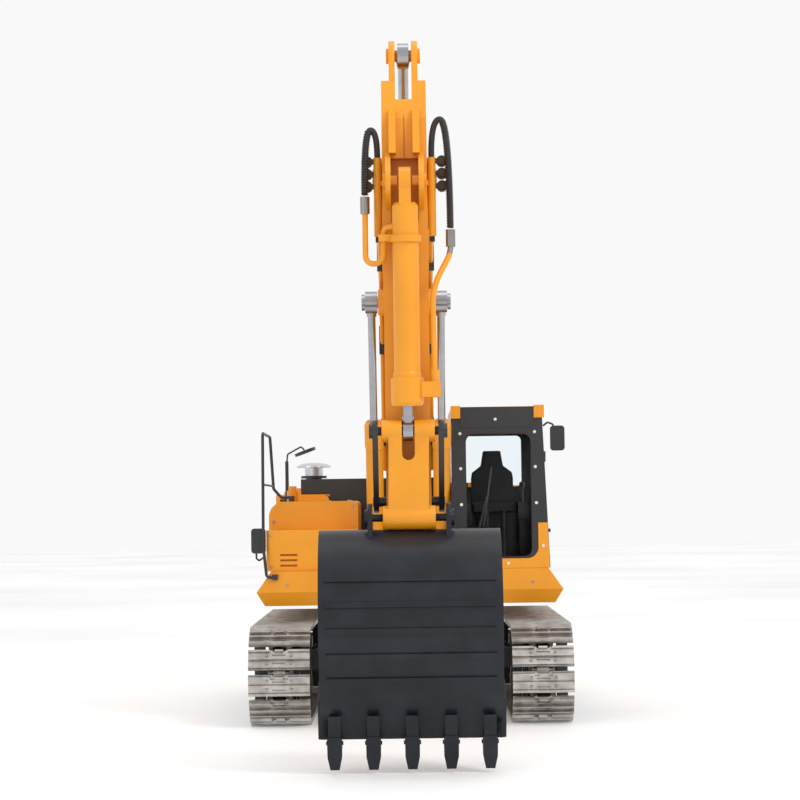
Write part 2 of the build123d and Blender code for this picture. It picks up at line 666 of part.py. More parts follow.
def boom():
    """Box-section mono boom: a foot boss, a cranked beam and a fork at the nose."""
    beam = side_slab(boom_outline(), -BOOM_HALF, BOOM_HALF)
    ahead = side_slab(polygon([(408, 300), (408, 400), (460, 400), (460, 300)]), -30, 30)
    beam -= ahead
    for side in (-1, 1):
        beam -= pin(BOOM_FOOT, 33.6, side * 12.9, side * 20)
    beam += pin(BOOM_FOOT, 11.0, -12.9, 12.9)
    cheek = hull_of((BOOM_NOSE, 12.5), ((404, 343), 14.0), ((378, 341), 14.0))
    beam += side_slab(cheek, FORK_INNER, FORK_OUTER) + side_slab(cheek, -FORK_OUTER, -FORK_INNER)
    beam += pin(BOOM_CYL_PIN, 9.0, -19.4, 19.4)
    beam -= pin(BOOM_FOOT, 4.0 + PIN_GAP, -30, 30)
    beam -= pin(BOOM_NOSE, 4.0, -30, 30)
    beam -= pin(BOOM_CYL_PIN, 4.0, -30, 30)
    barrel_slot = polygon([(196, 328.3), (312, 363.1), (312, 385), (196, 385)])
    beam -= side_slab(barrel_slot, -8.15, 8.15)
    return beam + boom_top_bracket()


def boom_top_bracket():
    """Two cheeks on the boom's back, between which the stick cylinder's base stands."""
    outline = hull_of((STICK_CYL_BASE, 13.0), ((176, 326), 4.0), ((214, 338), 4.0))
    return side_slab(outline, 8.2, 11.6) + side_slab(outline, -11.6, -8.2)


def boom_pins():
    """Shafts held in the boom: the nose pin, and the cross shaft for the boom cylinders' rod eyes."""
    nose = pin(BOOM_NOSE, 4.0, -19.2, 19.2)
    nose += pin(BOOM_NOSE, 6.0, FORK_OUTER, 19.2) + pin(BOOM_NOSE, 6.0, -19.2, -FORK_OUTER)
    cross = pin(BOOM_CYL_PIN, 4.0, -30.4, 30.4)
    caps = pin(BOOM_CYL_PIN, 5.6, 28.6, 30.8) + pin(BOOM_CYL_PIN, 5.6, -30.8, -28.6)
    return [nose, cross + caps]


PIPE_X = 17.1
PIPE_ROUTE = [(96, 190), (146, 262), (190, 318), (262, 337), (318, 345), (358, 347)]
PIPE_DROP = (0.0, 9.0)      # one pipe runs above the other
CLAMPS = [(112, 213), (158, 277), (232, 329), (296, 342), (344, 346)]


def boom_pipe(drop):
    points = [(PIPE_X, f, z - drop) for f, z in PIPE_ROUTE]
    return tube(points, 1.7, 12)


def boom_pipes():
    """Two hard lines on each side of the boom, with a union nut near each end."""
    made = []
    for drop in PIPE_DROP:
        pipe = boom_pipe(drop)
        for near, far in (((100, 195.8 - drop), (106, 204.4 - drop)), ((326, 345.4 - drop), (336, 345.9 - drop))):
            pipe += bar(axis_plane(PIPE_X, near, far), 2.1, 0, hypot(far[0] - near[0], far[1] - near[1]))
        made += both_sides(pipe)
    return made


def pipe_clamps():
    """Black clamp blocks that hold each pair of pipes to the boom's side."""
    clamp = None
    pipes = boom_pipe(PIPE_DROP[0]) + boom_pipe(PIPE_DROP[1])
    made = []
    for f, z in CLAMPS:
        clamp = block(BOOM_HALF, 19.4, f - 2.6, f + 2.6, z - 15, z + 5)
        made += both_sides(clamp - pipes)
    return made


# ---- hydraulic cylinders --------------------------------------------------------------------
def cylinder_barrel(x, base, rod_pin, length, radius, head_radius, rod_radius, eye_radius, eye_half):
    """Barrel with its base eye, hollow for the rod. length runs from the base pin to the gland's face."""
    plane = axis_plane(x, base, rod_pin)
    outline = [(13.0, radius * 0.82), (15.0, radius), (length - 20, radius), (length - 19, radius + 0.5),
               (length - 17, radius + 0.5), (length - 16, head_radius), (length - 2, head_radius),
               (length, head_radius - 1.0)]
    barrel = revolved_bar(plane, outline)
    barrel += pin(base, eye_radius, x - eye_half, x + eye_half)
    barrel += block_on(plane, eye_half, eye_radius * 0.8, 0, 14.0)
    barrel -= pin(base, eye_radius * 0.5, x - eye_half - 1, x - eye_half + 1)
    barrel -= pin(base, eye_radius * 0.5, x + eye_half - 1, x + eye_half + 1)
    bore = bar(plane, radius - 1.6, 17.0, length - 16)
    gland = bar(plane, rod_radius + PIN_GAP, length - 17, length + 1)
    return barrel - bore - gland


def block_on(plane, half_x, half_width, near, far):
    """A block along a plane's axis."""
    return extrude(plane.offset(near) * Rectangle(2 * half_x, 2 * half_width), far - near)


def cylinder_rod(x, base, rod_pin, rod_length, rod_radius, piston_radius, eye_radius, eye_half, bore_radius):
    """Rod with its eye and piston. rod_length runs from the rod pin to the piston's far face."""
    plane = axis_plane(x, rod_pin, base)
    rod = bar(plane, rod_radius, eye_radius * 0.6, rod_length) + bar(plane, piston_radius, rod_length - 6, rod_length)
    rod += pin(rod_pin, eye_radius, x - eye_half, x + eye_half)
    rod += bar(plane, rod_radius + 0.8, eye_radius * 0.6, eye_radius + 2.5)
    if bore_radius:
        return rod - pin(rod_pin, bore_radius, x - eye_half - 1, x + eye_half + 1)
    for side in (-1, 1):
        rod -= pin(rod_pin, eye_radius * 0.5, x + side * (eye_half - 0.8), x + side * (eye_half + 1))
    return rod


def boom_barrels():
    barrel = cylinder_barrel(BOOM_CYL_X, BOOM_CYL_BASE, BOOM_CYL_PIN, 136, 6.2, 6.8, 2.7, 7.2, 3.6)
    return both_sides(barrel)


def boom_rods():
    rod = cylinder_rod(BOOM_CYL_X, BOOM_CYL_BASE, BOOM_CYL_PIN, 152, 2.7, 4.5, 7.6, 4.2, 4.0 + PIN_GAP)
    return both_sides(rod)


def stick_barrel():
    return cylinder_barrel(0, STICK_CYL_BASE, STICK_TAIL, 152, 7.8, 9.2, 3.2, 8.0, 6.6)


def stick_rod():
    return cylinder_rod(0, STICK_CYL_BASE, STICK_TAIL, 150, 3.2, 6.1, 7.6, 3.3, 3.5 + PIN_GAP)


BUCKET_BARREL_LENGTH = 132.0


def bucket_barrel():
    return cylinder_barrel(0, BUCKET_CYL_BASE, LINK_PIN, BUCKET_BARREL_LENGTH, 7.7, 9.7, 2.9, 8.0, 3.5)


def bucket_rod():
    return cylinder_rod(0, BUCKET_CYL_BASE, LINK_PIN, 80, 2.9, 6.0, 6.0, 2.9, 2.6 + PIN_GAP)


# ---- stick --------------------------------------------------------------------------------
def stick():
    outline = polygon([(424, 408), (421, 372), (420.5, 340), (427.5, 123), (444.5, 123), (447, 200), (453, 330),
                       (452, 384), (442, 408)])
    beam = side_slab(outline, -STICK_HALF, STICK_HALF)
    tail = side_slab(hull_of((STICK_TAIL, 9.0), ((432, 396), 10.0)), -8.6, 8.6)
    beam += tail
    beam += pin(STICK_TIP, 9.0, -STICK_HALF, STICK_HALF)
    beam += pin(BOOM_NOSE, 13.2, -STICK_HALF, STICK_HALF)
    beam -= block(-5.0, 5.0, 400, 470, 396, 450)
    beam -= block(-0.25, 0.25, 451, 460, 352, 396)
    beam -= block(-8.2, 8.2, 444, 470, 322, 360)
    for side in (-1, 1):
        cheek = hull_of((BUCKET_CYL_BASE, 8.6), ((450, 366), 1.0), ((450, 330), 2.0))
        beam += side_slab(cheek, side * 8.2, side * 11.4)
        ridge = polygon([(450, 389), (453.5, 389), (462, 362), (450, 362)])
        beam += side_slab(ridge, side * 5.0, side * 9.1)
    beam -= pin(BOOM_NOSE, 4.0 + PIN_GAP, -30, 30)
    beam -= pin(STICK_TAIL, 3.5, -30, 30)
    beam -= pin(STICK_TIP, 3.0, -30, 30)
    beam -= pin(ROCKER_PIVOT, 3.0, -30, 30)
    return beam - pin(BUCKET_CYL_BASE, 3.0, -30, 30)


def headed_pin(point, radius, half, head_radius, head):
    shaft = pin(point, radius, -half, half)
    return shaft + pin(point, head_radius, half, half + head) + pin(point, head_radius, -half - head, -half)


def bucket_base_stub(side):
    return pin(BUCKET_CYL_BASE, 3.0, side * 4.4, side * 12.4) + pin(BUCKET_CYL_BASE, 4.2, side * 11.4, side * 12.8)


def tip_pin():
    """Shaft at the stick's tip with a spacer on each side of the stick."""
    shaft = pin(STICK_TIP, 3.0, -25.4, 25.4)
    for side in (-1, 1):
        shaft += pin(STICK_TIP, 6.0, side * STICK_HALF, side * 21.3)
    return shaft


def stick_pins():
    """Shafts held in the stick: tail, bucket-cylinder base, rocker pivot and tip."""
    return [headed_pin(STICK_TAIL, 3.5, 8.6, 4.6, 1.6),
            bucket_base_stub(1),
            bucket_base_stub(-1),
            pin(ROCKER_PIVOT, 3.0, -21.4, 21.4),
            tip_pin()]


PORT_X, PORT_F = 16.0, 449.8
HOSE_R = 1.8
HOSE_ROUTES = {
    "left": [(PORT_X, PORT_F, 361.0), (PORT_X, PORT_F + 0.6, 383.0), (26.6, 453, 383.0), (26.6, 456, 318.0)],
    "right": [(-PORT_X, PORT_F, 361.0), (-PORT_X, PORT_F + 0.6, 377.0), (-23.6, 453, 377.0), (-23.6, 456, 338.0)],
}


def hose_ports():
    """On each side of the stick: an upright port tube, a clip that holds it, and a stack of three end caps."""
    made = []
    for side, top in ((1, 361.0), (-1, 361.0)):
        x = side * PORT_X
        stem = Pos(*at(x, PORT_F, (top + 313.6) / 2)) * Cylinder(2.4, top - 314.4)
        stem += block(side * STICK_HALF, side * 17.2, PORT_F - 1.5, PORT_F + 1.5, 314, 318)
        stem += block(side * STICK_HALF, side * 17.2, PORT_F - 1.5, PORT_F + 1.5, 344, 347)
        made.append(stem)
    return made


def port_caps():
    made = []
    for side in (1, -1):
        for i in range(3):
            z = 343.8 + 7.4 * i
            cap = front_slab(disc((side * 22.2, z), 3.3), PORT_F - 5, PORT_F - 0.5)
            cap += front_slab(disc((side * 22.2, z), 2.3), PORT_F - 0.5, PORT_F + 1.5)
            bar_in = block(side * (PORT_X + 2.3), side * 20, PORT_F - 2.4, PORT_F, z - 1.5, z + 1.5)
            made.append(cap + bar_in)
    return made


def bent_tube(points, radius):
    """A tube along straight runs joined by tangent arcs, each as large as its shorter run allows."""
    placed = [at(*p) for p in points]
    radii = []
    for before, corner, after in zip(placed, placed[1:], placed[2:]):
        run_in, run_out = corner - before, after - corner
        half_turn = radians(run_in.get_angle(run_out)) / 2
        radii.append(0.45 * min(run_in.length, run_out.length) / tan(half_turn))
    path = FilletPolyline(*placed, radius=radii)
    return sweep(Plane(origin=path @ 0, z_dir=path % 0) * Circle(radius), path=path)


def bucket_pipes():
    """Hard lines on the bucket cylinder: one to its gland, one back up to its base port, with their ferrules."""
    x, f, z = HOSE_ROUTES["left"][-1]
    gland_pipe = bent_tube([(x, f, z - 3), (x, f + 1, 303), (15.4, f + 8, 282), (16.2, f + 5, 225)], 1.7)
    gland_pipe += Pos(*at(x, f, z - 6.2)) * Cylinder(2.8, 10)
    gland_block = block(8.0, 19.4, 455.4, 465.4, 218, 227)
    gland_pipe += Pos(*at(16.2, f + 5, 230)) * Cylinder(2.7, 8)
    x, f, z = HOSE_ROUTES["right"][-1]
    base_pipe = bent_tube([(x, f, z - 3), (x, f + 2, 297), (-13.2, f + 4, 297), (-12.6, f + 6, 318), (-5.8, 464.6, 318)],
                          1.7)
    base_pipe += Pos(*at(x, f, z - 6.2)) * Cylinder(2.8, 10)
    plane = axis_plane(0, BUCKET_CYL_BASE, LINK_PIN)
    strap = bar(plane, 9.2, 32, 36) + block(-15.8, 0, f + 1, f + 8.6, 309.6, 313.6)
    barrel_room = bar(plane, 7.7, 0, 111) + bar(plane, 9.7, 111, 145)
    return [(gland_pipe + gland_block) - barrel_room, (base_pipe + strap) - barrel_room]


# ---- bucket linkage -------------------------------------------------------------------------
ROCKER_X = (17.8, 21.0)


def rocker_links():
    plate = side_slab(hull_of((ROCKER_PIVOT, 6.5), (LINK_PIN, 6.5)), *ROCKER_X)
    plate -= pin(ROCKER_PIVOT, 3.0 + PIN_GAP, 16, 23)
    plate -= pin(LINK_PIN, 2.6, 16, 23)
    return both_sides(plate)


def linkage_pin():
    """Pin across both rocker links, on which the bucket link and the cylinder's rod eye turn."""
    return pin(LINK_PIN, 2.6, -22.6, 22.6) + pin(LINK_PIN, 4.4, 21.0, 23.0) + pin(LINK_PIN, 4.4, -23.0, -21.0)


def bucket_link():
    """Cast link: a wide plate between two cross bosses, with a notch for the cylinder's rod eye."""
    body = side_slab(hull_of((LINK_PIN, 5.6), (BUCKET_PIN, 5.6)), -11.8, 11.8)
    link = body + pin(LINK_PIN, 6.5, -15.6, 15.6) + pin(BUCKET_PIN, 7.0, -15.4, 15.4)
    notch_low = LINK_PIN[1] - 13.5
    notch = front_slab(disc((0, notch_low), 3.7), 440, 480) + block(-3.7, 3.7, 440, 480, notch_low, 215)
    link -= notch
    link -= block(-8.8, 8.8, 440, LINK_PIN[0] - 2.2, BUCKET_PIN[1] + 9, LINK_PIN[1] - 9)
    link -= pin(LINK_PIN, 2.6 + PIN_GAP, -20, 20)
    return link - pin(BUCKET_PIN, 4.4, -20, 20)


# ---- bucket -------------------------------------------------------------------------------
TIP_TURN = radians(15.0)        # the teeth stand this far forward of straight down


def bucket_point(along, out):
    """along runs from the stick-tip pin towards the teeth, out towards the bucket's back."""
    f = STICK_TIP[0] + along * sin(TIP_TURN) + out * cos(TIP_TURN)
    z = STICK_TIP[1] - along * cos(TIP_TURN) + out * sin(TIP_TURN)
    return (f, z)


def bucket_polygon(points):
    return polygon([bucket_point(*p) for p in points])


SHELL_OUTER = [(-13.0, 20.0), (-6.0, 35.0), (12.0, 47.0), (36.0, 50.0), (62.0, 41.5), (84.0, 25.0), (108.0, 5.0)]
SHELL_INNER = [(-9.6, 21.6), (-4.0, 33.2), (13.0, 44.4), (36.0, 47.4), (61.0, 39.2), (82.6, 23.0), (106.6, 3.0)]
TOP_OUTER = [(5.0, 15.0), (15.0, 1.0), (15.0, -17.0)]
TOP_INNER = [(17.6, -17.0), (17.6, 1.8), (6.8, 16.8)]


def bucket_shell_face():
    """Side-view section of the wrapper plate and the top plate, open at the mouth."""
    outer = Spline(*[bucket_point(*p) for p in SHELL_OUTER])
    inner = Spline(*[bucket_point(*p) for p in SHELL_INNER])
    top = Polyline(*[bucket_point(*p) for p in [SHELL_OUTER[0]] + TOP_OUTER + TOP_INNER + [SHELL_INNER[0]]])
    return make_face([outer, Line(outer @ 1, inner @ 1), inner, *top.edges()])


def bucket_side_face():
    outer = Spline(*[bucket_point(*p) for p in SHELL_OUTER])
    rest = Polyline(outer @ 1, bucket_point(104, -1), bucket_point(62, -19), bucket_point(15, -17),
                    bucket_point(15, 1), bucket_point(5, 15), outer @ 0)
    return make_face([outer, *rest.edges()])


def bucket():
    shell = side_slab(bucket_shell_face(), -BUCKET_HALF, BUCKET_HALF)
    for side in (-1, 1):
        shell += side_slab(bucket_side_face(), side * (BUCKET_HALF - 2.6), side * BUCKET_HALF)
        cutter = bucket_polygon([(70, -15), (106, 0), (108, 6), (88, 20), (74, 6)])
        shell += side_slab(cutter, side * (BUCKET_HALF - 1), side * 54.4)
        ear = hull_of((STICK_TIP, 8.5), (BUCKET_PIN, 8.5), (bucket_point(15, -8), 2.0), (bucket_point(2, 32), 3.0))
        shell += side_slab(ear, side * 21.6, side * 24.4)
        shell -= pin(STICK_TIP, 3.0 + PIN_GAP, side * 20, side * 26)
        shell += pin(BUCKET_PIN, 5.0, side * 24.4, side * 26.2)
    shell += bucket_ribs()
    return shell + pin(BUCKET_PIN, 2.2, -24.5, 24.5)


def bucket_ribs():
    """Wear ribs across the curved back, thicker bands near the edges, and a middle strap from the top down."""
    outer = Spline(*[bucket_point(*p) for p in SHELL_OUTER])
    made = None
    for place in (0.34, 0.44, 0.54, 0.64, 0.74):
        point, along = outer @ place, outer % place
        out = Vector(along.Y, -along.X)
        corners = [point - along * 2 - out * 1, point + along * 2 - out * 1, point + along * 1.6 + out * 1.2,
                   point - along * 1.6 + out * 1.2]
        if (point.X - STICK_TIP[0]) * out.X < 0:
            out = out * -1
            corners = [point - along * 2 - out * 1, point + along * 2 - out * 1, point + along * 1.6 + out * 1.2,
                       point - along * 1.6 + out * 1.2]
        rib = side_slab(polygon([(c.X, c.Y) for c in corners]), -BUCKET_HALF + 4, BUCKET_HALF - 4)
        made = rib if made is None else made + rib
    return made


TOOTH_X = [-45.0, -22.5, 0.0, 22.5, 45.0]


def bucket_teeth():
    """Five teeth: an adapter that straddles the lip, and a wedge point held by a cross pin."""
    adapter = bucket_polygon([(97, 18.6), (104, 14.0), (112, 9.0), (112, -2.5), (98, -2.0), (98, 8)])
    point = bucket_polygon([(108, 12.0), (119, 6.4), (125.2, 1.2), (124.6, -0.6), (108, -3.6)])
    wedge = polygon([(-4.4, 30), (4.4, 30), (4.2, 10), (2.2, 0), (-2.2, 0), (-4.2, 10)])
    made = []
    for x in TOOTH_X:
        tip = side_slab(point, x - 4.4, x + 4.4) & (Pos(X=x) * front_slab(wedge, 400, 520))
        tooth = side_slab(adapter, x - 3.6, x + 3.6) + tip
        tooth += pin(bucket_point(110, 4.4), 1.2, x - 5.0, x + 5.0)
        made.append(tooth)
    return made


# ---- the whole machine ----------------------------------------------------------------------
def undercarriage_parts():
    made = {"center_frame": [centre_frame()], "slew_ring_lower": [slew_ring_lower()]}
    pieces = {"track_shoes": placed_round_track(track_shoe()), "track_chain": placed_round_track(track_link()),
              "track_frame": [track_frame(), idler_axle()], "idler": [idler()], "sprocket": [sprocket()]}
    for name, shapes in pieces.items():
        made[name + "_left"] = shapes
        made[name + "_right"] = [mirror(shape, about=Plane.YZ) for shape in shapes]
    rollers = track_rollers()
    made["track_rollers"] = rollers + [mirror(shape, about=Plane.YZ) for shape in rollers]
    made["travel_motors"] = both_sides(travel_motor())
    return made


def house_parts():
    raised = deck_fittings()
    made = {name: [Pos(Z=DECK_LIFT) * shape for shape in shapes] for name, shapes in raised.items()}
    made["slew_platform"] = [slew_platform()]
    made["slew_ring_upper"] = [slew_ring_upper()]
    made["boom_bracket"] = boom_bracket() + boom_base_stubs() + [boom_foot_pin()]
    made["swing_motor"] = [swing_motor()]
    return made


def deck_fittings():
    return {
        "counterweight": [counterweight() + hood_lugs()], "tool_box": [tool_box()],
        "fuel_tank": [fuel_tank(), filler_neck()], "side_panels": side_panels(),
        "machine_bulkhead": [machine_bulkhead()], "engine_hood": [engine_hood() + hood_knuckles()],
        "hydraulic_pump": [hydraulic_pump()], "oil_tank": [oil_tank()], "battery": [battery(), radio_box()],
        "cab_frame": [cab_frame(), *door_hinges()], "cab_roof": [cab_roof()],
        "cab_front_panel": [cab_front_panel()], "cab_glass": cab_glass(), "cab_screws": cab_screws(),
        "cab_door": [cab_door()], "door_glass": [side_wall_pane(DOOR_WINDOW)], "seat": [seat()],
        "control_levers": control_levers(), "mirrors": mirrors() + [mast_mirror()], "handrail": [handrail()],
        "exhaust_stack": [exhaust_stack()], "air_precleaner": [air_precleaner()],
    }


def digger_parts():
    return {
        "boom": [boom()], "boom_pins": boom_pins(), "boom_pipes": boom_pipes(), "pipe_clamps": pipe_clamps(),
        "boom_barrels": boom_barrels(), "boom_rods": boom_rods(), "stick": [stick()], "stick_pins": stick_pins(),
        "hose_ports": hose_ports() + port_caps(), "stick_barrel": [stick_barrel()], "stick_rod": [stick_rod()],
        "bucket_barrel": [bucket_barrel()], "bucket_pipes": bucket_pipes(), "bucket_rod": [bucket_rod()],
        "rocker_links": [rocker_links()[0] + rocker_links()[1] + linkage_pin()], "bucket_link": [bucket_link()],
        "bucket": [bucket()], "bucket_teeth": [tooth - bucket() for tooth in bucket_teeth()],
        "hose_left": [bent_tube(HOSE_ROUTES["left"], HOSE_R)],
        "hose_right": [bent_tube(HOSE_ROUTES["right"], HOSE_R)],
    }


FRONT_REACH = 495.43
MIDDLE_SHIFT = (FRONT_REACH - TAIL_RADIUS) / 2      # moves the origin under the middle of the whole machine


def main():
    os.makedirs("parts", exist_ok=True)
    made = {**undercarriage_parts(), **house_parts(), **digger_parts()}
    for name, shapes in made.items():
        export_step(Pos(Y=MIDDLE_SHIFT) * group(shapes), "parts/" + name + ".step")


if __name__ == "__main__":
    main()
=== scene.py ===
"""Looks of the tracked excavator model: materials, hoses, bolts, light and camera."""
import json
from math import cos, pi, radians, sin

import bmesh
import bpy
from mathutils import Matrix, Vector


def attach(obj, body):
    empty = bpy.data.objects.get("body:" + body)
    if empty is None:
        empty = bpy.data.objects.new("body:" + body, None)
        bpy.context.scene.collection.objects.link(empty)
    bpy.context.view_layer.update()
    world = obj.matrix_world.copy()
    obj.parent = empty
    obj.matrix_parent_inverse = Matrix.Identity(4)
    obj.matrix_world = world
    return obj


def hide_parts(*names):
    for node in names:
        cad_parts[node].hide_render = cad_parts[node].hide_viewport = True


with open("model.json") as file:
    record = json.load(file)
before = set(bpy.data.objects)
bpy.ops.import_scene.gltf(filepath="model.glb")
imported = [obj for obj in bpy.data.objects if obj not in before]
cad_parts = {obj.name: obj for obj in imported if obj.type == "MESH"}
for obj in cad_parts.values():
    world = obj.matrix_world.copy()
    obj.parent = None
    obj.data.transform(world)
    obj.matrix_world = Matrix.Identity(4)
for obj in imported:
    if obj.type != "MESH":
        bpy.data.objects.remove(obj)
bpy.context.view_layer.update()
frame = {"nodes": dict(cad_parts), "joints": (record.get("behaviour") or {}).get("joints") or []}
nodes = frame["nodes"]
joints = {j["name"]: j for j in frame["joints"]}
SHIFT = joints["swing"]["pos_m"][1]      # row y of the slew axis


def at(x, f, z):
    """A point given in the construction frame's millimetres, in the row frame's metres."""
    return Vector((x / 1000, SHIFT - f / 1000, z / 1000))


# ---- materials ----------------------------------------------------------------------------
def material(name, color, rough, metal=0.0, second=None, blotch=30.0, grain=900.0, bump=0.05, coat=0.0,
             spread=0.08, stretch=(1, 1, 1)):
    """Surface whose colour drifts slowly, and whose roughness and relief come from a fine grain."""
    mat = bpy.data.materials.new(name)
    mat.use_nodes = True
    tree = mat.node_tree
    shader = tree.nodes["Principled BSDF"]
    place = tree.nodes.new("ShaderNodeTexCoord")
    mapping = tree.nodes.new("ShaderNodeMapping")
    mapping.inputs["Scale"].default_value = stretch
    tree.links.new(place.outputs["Object"], mapping.inputs["Vector"])

    def noise(scale, detail):
        node = tree.nodes.new("ShaderNodeTexNoise")
        node.inputs["Scale"].default_value = scale
        node.inputs["Detail"].default_value = detail
        tree.links.new(mapping.outputs["Vector"], node.inputs["Vector"])
        return node.outputs["Fac"]

    slow, fine = noise(blotch, 4.0), noise(grain, 3.0)
    ramp = tree.nodes.new("ShaderNodeValToRGB")
    ramp.color_ramp.elements[0].position = 0.35
    ramp.color_ramp.elements[1].position = 0.68
    ramp.color_ramp.elements[0].color = (*color, 1)
    ramp.color_ramp.elements[1].color = (*(second or [c * 0.88 for c in color]), 1)
    tree.links.new(slow, ramp.inputs["Fac"])
    tree.links.new(ramp.outputs["Color"], shader.inputs["Base Color"])
    span = tree.nodes.new("ShaderNodeMapRange")
    span.inputs["To Min"].default_value = max(0.02, rough - spread)
    span.inputs["To Max"].default_value = min(1.0, rough + spread)
    tree.links.new(fine, span.inputs["Value"])
    tree.links.new(span.outputs["Result"], shader.inputs["Roughness"])
    relief = tree.nodes.new("ShaderNodeBump")
    relief.inputs["Strength"].default_value = bump
    relief.inputs["Distance"].default_value = 0.0004
    tree.links.new(fine, relief.inputs["Height"])
    tree.links.new(relief.outputs["Normal"], shader.inputs["Normal"])
    shader.inputs["Metallic"].default_value = metal
    shader.inputs["Coat Weight"].default_value = coat
    shader.inputs["Coat Roughness"].default_value = 0.15
    return mat


def set_socket(mat, socket, value):
    mat.node_tree.nodes["Principled BSDF"].inputs[socket].default_value = value


yellow = material("yellow_enamel", (0.80, 0.31, 0.005), 0.42, second=(0.73, 0.275, 0.004),
                  coat=0.06, grain=1400, bump=0.04)
black = material("black_enamel", (0.012, 0.012, 0.014), 0.38, second=(0.02, 0.02, 0.022), coat=0.2, bump=0.06)
bucket_black = material("bucket_enamel", (0.005, 0.0065, 0.011), 0.42, second=(0.011, 0.014, 0.021),
                        coat=0.1, bump=0.1, blotch=60)
cab_black = material("cab_satin", (0.008, 0.008, 0.009), 0.3, second=(0.014, 0.014, 0.016), coat=0.3)
steel = material("bare_steel", (0.55, 0.53, 0.50), 0.34, metal=1.0, second=(0.36, 0.34, 0.31),
                 blotch=120, grain=1600, bump=0.18, spread=0.14)
ring_steel = material("ring_steel", (0.35, 0.34, 0.33), 0.34, metal=1.0, second=(0.24, 0.23, 0.22), bump=0.1)
chrome = material("chrome_rod", (0.40, 0.40, 0.42), 0.22, metal=1.0, second=(0.34, 0.34, 0.36),
                  spread=0.05, bump=0.01, stretch=(1, 1, 6))
aluminium = material("turned_aluminium", (0.66, 0.66, 0.68), 0.28, metal=1.0, second=(0.55, 0.55, 0.58),
                     bump=0.06, stretch=(1, 1, 8))
rubber = material("hose_rubber", (0.018, 0.012, 0.010), 0.62, second=(0.03, 0.02, 0.016),
                  grain=2400, bump=0.3)
brown = material("fitting_brown", (0.05, 0.032, 0.022), 0.4, metal=0.6, second=(0.09, 0.06, 0.04), bump=0.1)
vinyl = material("seat_vinyl", (0.014, 0.014, 0.016), 0.66, second=(0.022, 0.022, 0.024),
                 grain=1800, bump=0.5)
plastic = material("console_plastic", (0.02, 0.02, 0.022), 0.55, second=(0.03, 0.03, 0.032),
                   grain=1500, bump=0.3)
screw_white = material("screw_white", (0.72, 0.72, 0.70), 0.4, second=(0.62, 0.62, 0.6), bump=0.1)
screw_steel = material("screw_steel", (0.42, 0.41, 0.40), 0.3, metal=1.0, second=(0.3, 0.29, 0.28), bump=0.1)
glass = material("clear_glass", (0.95, 0.98, 1.0), 0.05, second=(0.93, 0.97, 0.99), spread=0.03, bump=0.0)
floor_white = material("floor_white", (0.92, 0.92, 0.92), 0.55, second=(0.78, 0.78, 0.78),
                       blotch=2, grain=60, bump=0.0)
set_socket(glass, "Transmission Weight", 1.0)
set_socket(glass, "IOR", 1.05)
set_socket(floor_white, "Emission Color", (1, 1, 1, 1))
set_socket(floor_white, "Emission Strength", 0.12)
set_socket(bucket_black, "Specular IOR Level", 0.3)

FINISH = {
    yellow: "slew_platform boom_bracket counterweight tool_box fuel_tank side_panels engine_hood "
            "cab_roof cab_front_panel boom boom_pipes boom_barrels stick stick_barrel bucket_barrel "
            "bucket_pipes bucket_link stick_pins hose_ports",
    black: "center_frame track_frame_left track_frame_right track_rollers travel_motors sprocket_left "
           "sprocket_right machine_bulkhead pipe_clamps exhaust_stack rocker_links battery",
    cab_black: "cab_frame cab_door handrail mirrors",
    bucket_black: "bucket bucket_teeth",
    steel: "track_shoes_left track_shoes_right track_chain_left track_chain_right idler_left idler_right",
    ring_steel: "slew_ring_lower slew_ring_upper",
    chrome: "boom_rods stick_rod bucket_rod boom_pins",
    aluminium: "air_precleaner hydraulic_pump oil_tank swing_motor",
    rubber: "hose_left hose_right", vinyl: "seat", plastic: "control_levers",
    screw_white: "cab_screws", glass: "cab_glass door_glass",
}
for finish, names in FINISH.items():
    for name in names.split():
        nodes[name].data.materials.clear()
        nodes[name].data.materials.append(finish)


def repaint(name, finish, test):
    """The faces of a node whose middles pass the test get a second finish."""
    mesh = nodes[name].data
    mesh.materials.append(finish)
    for face in mesh.polygons:
        if test(face.center):
            face.material_index = len(mesh.materials) - 1


def on_cap(c):
    """The stacks of end caps stand outside the port tubes."""
    return abs(c.x) > 0.0186


def on_ferrule(c):
    """The ferrules top the outer pipes; the right one starts higher than the left."""
    lowest = 0.3025 if c.x > 0 else 0.3225
    return abs(c.x) > 0.0198 and c.z > lowest


def on_tip_pins(c):
    return c.z < 0.17


repaint("hose_ports", brown, on_cap)
repaint("bucket_pipes", ring_steel, on_ferrule)
repaint("stick_pins", black, on_tip_pins)


# ---- softened edges on the CAD nodes --------------------------------------------------------
SOFT_EDGE = 0.35 / 1000
SOFTENED = ("boom stick slew_platform tool_box fuel_tank counterweight side_panels engine_hood "
            "machine_bulkhead cab_frame cab_roof cab_door bucket bucket_teeth bucket_link rocker_links "
            "boom_bracket")


def soften(name):
    """A small round on a node's sharp edges, after its seams are welded."""
    node = nodes[name]
    weld = node.modifiers.new("weld", "WELD")
    weld.merge_threshold = 0.000002
    bevel = node.modifiers.new("edge", "BEVEL")
    bevel.width = SOFT_EDGE
    bevel.segments = 2
    bevel.limit_method = "ANGLE"
    bevel.angle_limit = radians(40)
    bevel.harden_normals = False
    bevel.use_clamp_overlap = True


for name in SOFTENED.split():
    soften(name)


# ---- small pieces ---------------------------------------------------------------------------
def piece(name, mesh_builder, finish, body):
    """A mesh object that rides on a body, filled in by its builder."""
    work = bmesh.new()
    mesh_builder(work)
    mesh = bpy.data.meshes.new(name)
    work.to_mesh(mesh)
    work.free()
    mesh.materials.append(finish)
    made = bpy.data.objects.new(name, mesh)
    bpy.context.scene.collection.objects.link(made)
    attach(made, body)
    return made


